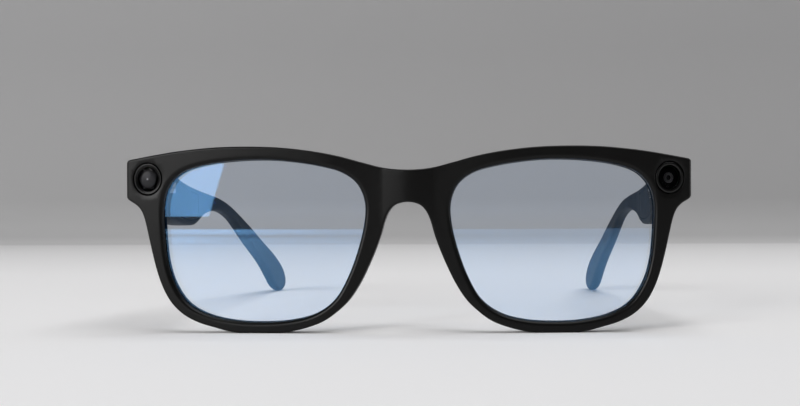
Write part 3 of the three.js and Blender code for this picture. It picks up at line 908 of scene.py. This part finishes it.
def moulded(name, colour, roughness, grain=0.00002, specular=0.35, scale=2600):
    """Moulded plastic: a fine even grain, with faint mottling of tone and gloss."""
    n = Nodes(name)
    fine = n.noise(scale, 3.0)
    wide = n.noise(90, 3.0)
    tone = n.ramp(wide, [(0.3, darker(colour, 0.86)), (0.7, darker(colour, 1.14))])
    normal = n.bump(fine, grain)
    normal = n.bump(n.noise(260, 2.0), 0.00003, 0.25, normal)
    n.surface(
        Base_Color=tone, Roughness=n.spread(n.noise(420, 3.0), roughness - 0.05, roughness + 0.05),
        Specular_IOR_Level=specular, Normal=normal,
    )
    return n.material


def metal(name, colour, roughness, stretch=(1, 1, 30)):
    """Brushed or plated metal, with fine lines and a few dull patches."""
    n = Nodes(name)
    lines = n.noise(1500, 4.0, stretch)
    tone = n.ramp(lines, [(0.3, darker(colour, 0.8)), (0.75, colour)])
    dull = n.spread(n.noise(300, 4.0), roughness - 0.08, roughness + 0.1)
    n.surface(Base_Color=tone, Metallic=1.0, Roughness=dull, Normal=n.bump(lines, 0.000006))
    return n.material


def circuit_board(name):
    """Green solder mask over copper tracks, with pads."""
    n = Nodes(name)
    bricks = n.new(
        "ShaderNodeTexBrick", Scale=900.0, Color1=(0.012, 0.09, 0.03, 1),
        Color2=(0.02, 0.13, 0.045, 1), Mortar=(0.035, 0.2, 0.07, 1),
    )
    n.link(n.where, bricks.inputs["Vector"])
    cells = n.new("ShaderNodeTexVoronoi", Scale=1400.0)
    n.link(n.where, cells.inputs["Vector"])
    n.surface(
        Base_Color=bricks.outputs["Color"], Roughness=n.spread(cells.outputs["Distance"], 0.3, 0.5),
        Normal=n.bump(bricks.outputs["Fac"], 0.00003),
    )
    return n.material


def film(name, colour, copper):
    """Amber film cable with copper lines under it."""
    n = Nodes(name)
    lines = n.new("ShaderNodeTexWave", Scale=700.0, Distortion=0.3)
    lines.bands_direction = "Z"
    n.link(n.where, lines.inputs["Vector"])
    n.surface(
        Base_Color=n.ramp(lines.outputs["Fac"], [(0.4, colour), (0.6, copper)]),
        Roughness=n.spread(n.noise(800), 0.3, 0.42), Normal=n.bump(lines.outputs["Fac"], 0.00001),
    )
    return n.material


def foil(name, colour):
    """Crimped pouch foil."""
    n = Nodes(name)
    dents = n.noise(500, 5.0)
    n.surface(
        Base_Color=n.ramp(dents, [(0.3, darker(colour, 0.75)), (0.7, colour)]), Metallic=0.8,
        Roughness=n.spread(n.noise(150), 0.3, 0.45), Normal=n.bump(dents, 0.00008),
    )
    return n.material


def lens_glass(name, lower, upper, coat):
    """A clear lens whose coat mirrors blue, with a tint graded by height that is partly a real tint and
    partly painted reflection.
    """
    n = Nodes(name)
    patches = n.noise(45, 2.0)
    height = n.new("ShaderNodeSeparateXYZ")
    n.link(n.where, height.inputs[0])
    share = n.new("ShaderNodeMapRange", **{"From Max": cad_high.z})
    n.link(height.outputs["Z"], share.inputs["Value"])
    pass_through = n.new("ShaderNodeBsdfTransparent")
    # partly painted reflection: less light passes below mid height and bluer light above, like the reflected
    # horizon's change
    tint_and_painted_reflection = n.ramp(share.outputs["Result"], [(0.45, lower), (0.65, upper)])
    n.link(tint_and_painted_reflection, pass_through.inputs["Color"])
    mirror = n.new("ShaderNodeBsdfAnisotropic", Roughness=0.015)
    tone = n.ramp(patches, [(0.3, darker(coat, 0.97)), (0.7, darker(coat, 1.03))])
    n.link(tone, mirror.inputs["Color"])
    both = n.new("ShaderNodeAddShader")
    n.link(pass_through.outputs[0], both.inputs[0])
    n.link(mirror.outputs[0], both.inputs[1])
    n.link(both.outputs[0], n.out.inputs["Surface"])
    return n.material


def radius_from(n, centre, oval=1.0):
    """Distance from a module's axis, in millimetres, as a node value."""
    shift = n.new("ShaderNodeVectorMath", operation="SUBTRACT")
    shift.inputs[1].default_value = (centre[0] * MM, 0, centre[1] * MM)
    n.link(n.where, shift.inputs[0])
    scale = n.new("ShaderNodeVectorMath", operation="MULTIPLY")
    scale.inputs[1].default_value = (1000 / oval, 0, 1000)
    n.link(shift.outputs[0], scale.inputs[0])
    length = n.new("ShaderNodeVectorMath", operation="LENGTH")
    n.link(scale.outputs[0], length.inputs[0])
    return length.outputs["Value"]


def front_element(name, centre):
    """The camera's curved front element: coated rings round a painted white highlight at its centre."""
    n = Nodes(name)
    away = radius_from(n, centre, MODULE_OVAL)
    share = n.new("ShaderNodeMath", operation="DIVIDE")
    n.link(away, share.inputs[0])
    share.inputs[1].default_value = DOME[-2][0]
    # painted highlight: the white spot at the centre stands in for a glint off the lens
    tone = n.ramp(share.outputs[0], [
        (0.0, (0.95, 0.95, 0.95)), (0.045, (0.8, 0.8, 0.81)), (0.1, (0.03, 0.03, 0.031)),
        (0.4, (0.026, 0.025, 0.026)), (0.55, (0.036, 0.036, 0.037)), (0.84, (0.028, 0.028, 0.029)),
        (0.96, (0.003, 0.003, 0.0035)),
    ])
    n.surface(
        Base_Color=tone, Roughness=n.spread(n.noise(900), 0.25, 0.32), Specular_IOR_Level=0.15,
        Normal=n.bump(n.noise(700), 0.000004),
    )
    return n.material


def paper_with_painted_shade(name, stops, start, end):
    """Plain paper sweep with painted shade: pale on the table, darker towards the wall and darkest high up
    it.
    """
    n = Nodes(name)
    parts = n.new("ShaderNodeSeparateXYZ")
    n.link(n.where, parts.inputs[0])
    rise = n.new("ShaderNodeMath", operation="MULTIPLY_ADD")
    n.link(parts.outputs["Z"], rise.inputs[0])
    rise.inputs[1].default_value = 0.5
    n.link(parts.outputs["Y"], rise.inputs[2])
    way = n.new("ShaderNodeMapRange", **{"From Min": start, "From Max": end})
    n.link(rise.outputs[0], way.inputs["Value"])
    n.surface(
        Base_Color=n.ramp(way.outputs["Result"], stops), Roughness=0.8,
        Specular_IOR_Level=0.1, Normal=n.bump(n.noise(60), 0.0002, 0.1),
    )
    return n.material


def glow(name, radiance):
    """An even white light."""
    n = Nodes(name)
    light = n.new("ShaderNodeEmission", Color=(1, 1, 1, 1), Strength=radiance)
    n.link(light.outputs[0], n.out.inputs["Surface"])
    return n.material


BLACK = (0.002, 0.0019, 0.0018)
shell_finish = moulded("shell_plastic", BLACK, 0.34, 0.000006, 0.19)
arm_finish = moulded("arm_plastic", darker(BLACK, 0.9), 0.55, 0.00002, 0.1, 1800)
inner_finish = moulded("cover_plastic", darker(BLACK, 1.1), 0.58, 0.00002, 0.1, 1800)
pad_finish = moulded("pad_plastic", darker(BLACK, 0.9), 0.62, 0.00002, 0.25)
button_finish = moulded("button_plastic", darker(BLACK, 1.5), 0.36, 0.00001, 0.4)
trim_finish = moulded("trim_gloss", darker(BLACK, 0.8), 0.24, 0.000002, 0.38, 1200)
barrel_finish = moulded("barrel_black", (0.001, 0.001, 0.0011), 0.5, 0.00001, 0.06)
lamp_finish = moulded("lamp_tube", (0.022, 0.022, 0.023), 0.3, 0.000003, 0.5)
# lower and upper tints grade the lens by height: partly a real tint, partly painted reflection
lens_finish = lens_glass(
    "lens_coated", (0.873, 0.878, 0.877), (0.945, 0.97, 1.0), (0.031, 0.078, 0.145),
)
WINDOW_TINT = (0.9, 0.9, 0.91)
window_finish = lens_glass("module_window", WINDOW_TINT, WINDOW_TINT, (0.0015, 0.0015, 0.0017))
element_painted_glint_finish = front_element("front_element", (-DOME_CENTRE[0], DOME_CENTRE[1]))
steel_finish = metal("hinge_steel", (0.26, 0.26, 0.27), 0.36)
dark_mesh_finish = metal("grille_steel", (0.05, 0.05, 0.055), 0.45, (1, 1, 1))
contact_finish = metal("contact_gold", (0.78, 0.55, 0.2), 0.25, (1, 1, 1))
board_finish = circuit_board("circuit_board")
flex_finish = film("film_cable", (0.3, 0.11, 0.02), (0.5, 0.22, 0.06))
foil_finish = foil("pouch_foil", (0.5, 0.51, 0.53))


def dress(made, finish, body, slot, *nodes):
    """Gives a new piece its material and its body, and hides the nodes that it stands for. The slot is not
    used.
    """
    made.data.materials.clear()
    made.data.materials.append(finish)
    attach(made, body)
    if nodes:
        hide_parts(*nodes)


def dress_pair(left, finish, bodies, slot, node):
    """Dresses a left piece, and its mirrored copy on the right."""
    right = mirrored(left, left.name.replace("_left", "_right"))
    dress(right, finish, bodies[1], slot, node + "_right")
    dress(left, finish, bodies[0], slot, node + "_left")


def moved_over(made, name):
    """A piece mirrored to the other side, in place of the first one."""
    other = mirrored(made, name)
    bpy.data.objects.remove(made)
    return other


def recoat(finish, *nodes):
    """Gives carried-over nodes a material."""
    for node in nodes:
        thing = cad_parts[node]
        thing.data.materials.clear()
        thing.data.materials.append(finish)


# Pieces of the front

FRONT = ("front", "front")
TEMPLES = ("temple_left", "temple_right")

dress(front_shell(), shell_finish, "front", "shell", "front_frame")

dress_pair(lens("lens_glass_left"), lens_finish, FRONT, "lens", "lens")
dress_pair(nose_pad("pad_left"), pad_finish, FRONT, "pad", "nose_pad")

for name, profile, finish, slot, node in (
    ("camera_ring", CAMERA_RING, trim_finish, "trim", "camera_trim_ring"),
    ("camera_window", WINDOW, window_finish, "cover_glass", "camera_cover_glass"),
    ("camera_tube", BARREL, barrel_finish, "barrel", "camera_barrel"),
    ("camera_dome", DOME, element_painted_glint_finish, "element", "camera_front_element"),
):
    centre, sharp = (DOME_CENTRE, 60) if profile is DOME else (MODULE, 35)
    plain = turned("plain_" + name, profile, sharp, centre)
    dress(moved_over(plain, name), finish, "front", slot, node)

ring = turned("indicator_ring", INDICATOR_RING)
dress(ring, trim_finish, "front", "trim", "indicator_trim_ring")
window = turned("indicator_cover", WINDOW)
dress(window, window_finish, "front", "cover_glass", "indicator_window")

lamp_bed = turned("indicator_bed", LAMP_BED)
dress(lamp_bed, barrel_finish, "front", "guide", "indicator_light_guide")
lamp_tube = turned("indicator_lamp", LAMP_TUBE)
dress(lamp_tube, lamp_finish, "front", "guide")
slit_x = (MODULE[0] - 0.4, MODULE[0] + 0.4)
slit_z = (MODULE[1] - 0.2, MODULE[1] + 0.2)
slit_points, slit_faces = block(slit_x, (1.7, 1.95), slit_z)
lamp_slit = make("indicator_slit", wrapped(slit_points), slit_faces)
dress(bevelled(lamp_slit, 0.1), barrel_finish, "front", "guide")

contact = turned("contact_left", CONTACT, 35, CONTACT_PLACE, 1.0, 64)
dress_pair(contact, contact_finish, FRONT, "contact", "charging_contact")


def strip_cover():
    """The strip that closes the cable channel."""
    made = Solid()
    loop = brow_strip(BROW_REACH - 0.3, 1.32, 2.08)
    low = made.sheet(loop, [], level(3.95), [], 0.9)
    high = made.sheet(loop, [], level(RIM_DEPTH - 0.03), [], 0.9)
    made.wall(low[0], [], high[0])
    return made.mesh("brow_cover", front_place, 35)


dress(strip_cover(), inner_finish, "front", "shell", "brow_flex_cover")


# Hinges: three knuckles on a headed pin

KNUCKLES = {"lower": (36.4, 37.6), "middle": (37.9, 39.3), "upper": (39.6, 40.8)}


def pin_bore():
    """The hole for the pin, through every knuckle."""
    return post(PIN_BORE, *PIN, (30, 50), 32)


def hinge_bracket(name):
    """The front leaf: two knuckles on a plate that closes the endpiece's pocket."""
    points, faces = block((65.4, 71.7), (7.8, 9.0), (36.4, 43.1))
    made = make(name, wrapped(points), faces)
    parts = []
    for knuckle in (KNUCKLES["lower"], KNUCKLES["upper"]):
        parts.append(post(KNUCKLE_RADIUS, *PIN, knuckle, 64))
        parts.append(block((65.4, 67.0), (10.8, PIN[1]), knuckle))
    carve(made, parts, "UNION")
    carve(made, [pin_bore()])
    return bevelled(made, 0.12, 2)


def hinge_leaf(name):
    """The temple's leaf: the middle knuckle, and a tongue into the housing."""
    knuckle = KNUCKLES["middle"]
    inner = (knuckle[0] + 0.02, knuckle[1] - 0.02)
    made = make(name, *post(KNUCKLE_RADIUS, *PIN, knuckle, 64))
    neck = block((PIN[0], 68.5), (14.4, 15.8), inner)
    tongue = block((67.3, 68.5), (14.9, 21.5), knuckle)
    carve(made, [neck, tongue], "UNION")
    carve(made, [pin_bore()])
    return bevelled(made, 0.1, 2)


def hinge_pin(name):
    """A pin whose head has a driver slot."""
    made = make(name, *post(PIN_RADIUS, *PIN, (36.4, 41.3), 32))
    carve(made, [post(1.2, *PIN, (41.1, 41.68), 48, 0.15)], "UNION")
    slot = block((PIN[0] - 1.5, PIN[0] + 1.5), (PIN[1] - 0.13, PIN[1] + 0.13), (41.45, 42.5))
    return carve(made, [slot])


dress_pair(hinge_bracket("fine_hinge_bracket_left"), steel_finish, FRONT, "steel", "hinge_bracket")
dress_pair(hinge_pin("fine_hinge_pin_left"), steel_finish, FRONT, "steel", "hinge_pin")
dress_pair(hinge_leaf("fine_hinge_leaf_left"), steel_finish, TEMPLES, "steel", "hinge_leaf")


# Pieces of the temples

button_slot = prism(pill_loop(3.0, 7.0), -2.6, 4, on_top)
left_shell = temple_shell("temple_arm_left", [])
right_shell = temple_shell("temple_arm_right_plain", [button_slot])
right_arm = moved_over(right_shell, "temple_arm_right")
dress(right_arm, arm_finish, "temple_right", "shell", "temple_shell_right")
dress(left_shell, arm_finish, "temple_left", "shell", "temple_shell_left")

slider_slot = box_loop((19.0, 23.3), (34.4, 36.4), 0.5)
right_cover = moved_over(cover_plate("plain_cover"), "inner_cover_right")
dress(right_cover, inner_finish, "temple_right", "shell", "temple_cover_right")
left_cover = cover_plate("inner_cover_left", slider_slot)
dress(left_cover, inner_finish, "temple_left", "shell", "temple_cover_left")

dress_pair(speaker_grille("grille_left"), dark_mesh_finish, TEMPLES, "mesh", "speaker_mesh")

key_edge = ((0, 0.2), (0.03, 0.11), (0.09, 0.04), (0.2, 0.0))
key = make("plain_key", *prism(pill_loop(2.4, 6.4), -2.3, 0.5, on_top, key_edge))
carve(key, [prism(pill_loop(2.6, 7.6), -2.7, -2.2, on_top)], "UNION")
key_cap = moved_over(key, "capture_key_cap")
dress(key_cap, button_finish, "capture_key", "button", "capture_button")

knob = make("power_knob_cap", *block((65.4, 67.4), (19.3, 21.5), (34.7, 36.1)))
ridges = [block((65.2, 65.55), (y, y + 0.22), (34.9, 35.9)) for y in (19.75, 20.2, 20.65, 21.1)]
carve(knob, ridges)
carve(knob, [block((67.3, 67.8), (18.4, 22.4), (34.1, 36.7))], "UNION")
dress(bevelled(knob, 0.08, 2), button_finish, "power_knob", "button", "power_slider")

# Inner pieces keep their shapes
recoat(board_finish, "camera_sensor_board", "indicator_board", "main_board", "battery_board")
recoat(flex_finish, "brow_flex", "touch_sensor")
recoat(steel_finish, "nose_microphone", "microphone_right", "microphone_left", "processor_shield",
       "capture_switch", "power_switch_body", "core_wire_right", "core_wire_left")
recoat(foil_finish, "battery", "speaker_right", "speaker_left")


# Stage: a pale paper table that sweeps up into a wall, greyed towards and up the wall with painted shade

WALL_Y = 0.67


def sweep():
    """The paper: flat under the glasses, and curved up at the back."""
    bend = 0.045
    turn = WALL_Y - bend
    profile = [(-1.555, 0.0), (-0.6, 0.0), (0.0, 0.0), (0.4, 0.0), (turn, 0.0)]
    for i in range(1, 13):
        a = math.pi / 2 * i / 12
        profile.append((turn + bend * math.sin(a), bend * (1 - math.cos(a))))
    profile += [(WALL_Y, 0.4), (WALL_Y, 1.6)]
    xs = np.linspace(-2.2, 2.2, 12)
    points = np.array([(x, y, z) for y, z in profile for x in xs])
    n = len(xs)
    faces = [
        (j * n + i, j * n + i + 1, (j + 1) * n + i + 1, (j + 1) * n + i)
        for j in range(len(profile) - 1) for i in range(n - 1)
    ]
    mesh = bpy.data.meshes.new("sweep")
    mesh.from_pydata([tuple(p) for p in points], [], faces)
    for polygon in mesh.polygons:
        polygon.use_smooth = True
    made = bpy.data.objects.new("sweep", mesh)
    bpy.context.scene.collection.objects.link(made)
    # painted shade: one paper, greyed towards the wall and up it where less light falls
    painted_shade_greys = [
        (0, 0.88), (0.44, 0.79), (0.7, 0.7), (0.76, 0.58), (0.805, 0.395), (0.85, 0.355),
        (0.92, 0.335), (1, 0.31),
    ]
    painted_shade_tones = [(at, (grey, 0.994 * grey, grey)) for at, grey in painted_shade_greys]
    mesh.materials.append(paper_with_painted_shade("sweep_paper_painted_shade", painted_shade_tones, WALL_Y - 0.5, WALL_Y + 0.1))


def card(name, corners, radiance):
    """A soft light, as a glowing sheet."""
    mesh = bpy.data.meshes.new(name)
    mesh.from_pydata(corners, [], [tuple(range(len(corners)))])
    made = bpy.data.objects.new(name, mesh)
    bpy.context.scene.collection.objects.link(made)
    mesh.materials.append(glow(name + "_glow", radiance))


sweep()
KEY_Y = FRONT_Y - 1.0
SIDE_X = 1.3
TOP_Z = 1.9
card("key_light", [
    (-1.45, KEY_Y, 0.026), (-0.47, KEY_Y, 0.026), (-0.436, KEY_Y, 0.1), (-0.38, KEY_Y, 0.2),
    (-1.45, KEY_Y, 0.2),
], 1.5)
card("left_light", [
    (-1.7, KEY_Y, 0.21), (-0.45, KEY_Y, 0.21), (-0.45, KEY_Y, 0.75), (-1.7, KEY_Y, 0.75),
], 9.5)
card("right_light", [
    (SIDE_X, -0.35, 0.02), (SIDE_X, 0.35, 0.02), (SIDE_X, 0.35, 0.25), (SIDE_X, -0.35, 0.25),
], 5.5)
card("top_light", [
    (-0.3, -1.0, TOP_Z), (1.3, -1.0, TOP_Z), (1.3, 0.6, TOP_Z), (-0.3, 0.6, TOP_Z),
], 3.2)

# A faint even light from all round
world = bpy.data.worlds.new("studio")
world.use_nodes = True
background = world.node_tree.nodes["Background"]
background.inputs["Color"].default_value = (0.08, 0.08, 0.082, 1)
background.inputs["Strength"].default_value = 1.0
bpy.context.scene.world = world

# Camera: level, a little to the wearer's left of the middle
YAW = math.radians(0.53)
ROLL = math.radians(0.17)
EYE_PLACE = (0.01955, FRONT_Y - 0.2453, 0.03098)
FOCAL_LENGTH = 43.26
eye = bpy.data.cameras.new("camera")
eye.lens = FOCAL_LENGTH
eye.sensor_width = 36
eye.shift_x = -0.09375
eye.shift_y = 0.01125
eye.clip_start = 0.01
eye.dof.use_dof = False
camera = bpy.data.objects.new("camera", eye)
camera.location = EYE_PLACE
camera.rotation_euler = (math.pi / 2, ROLL, YAW)
bpy.context.scene.collection.objects.link(camera)
bpy.context.scene.camera = camera
bpy.context.scene.view_settings.view_transform = "Standard"
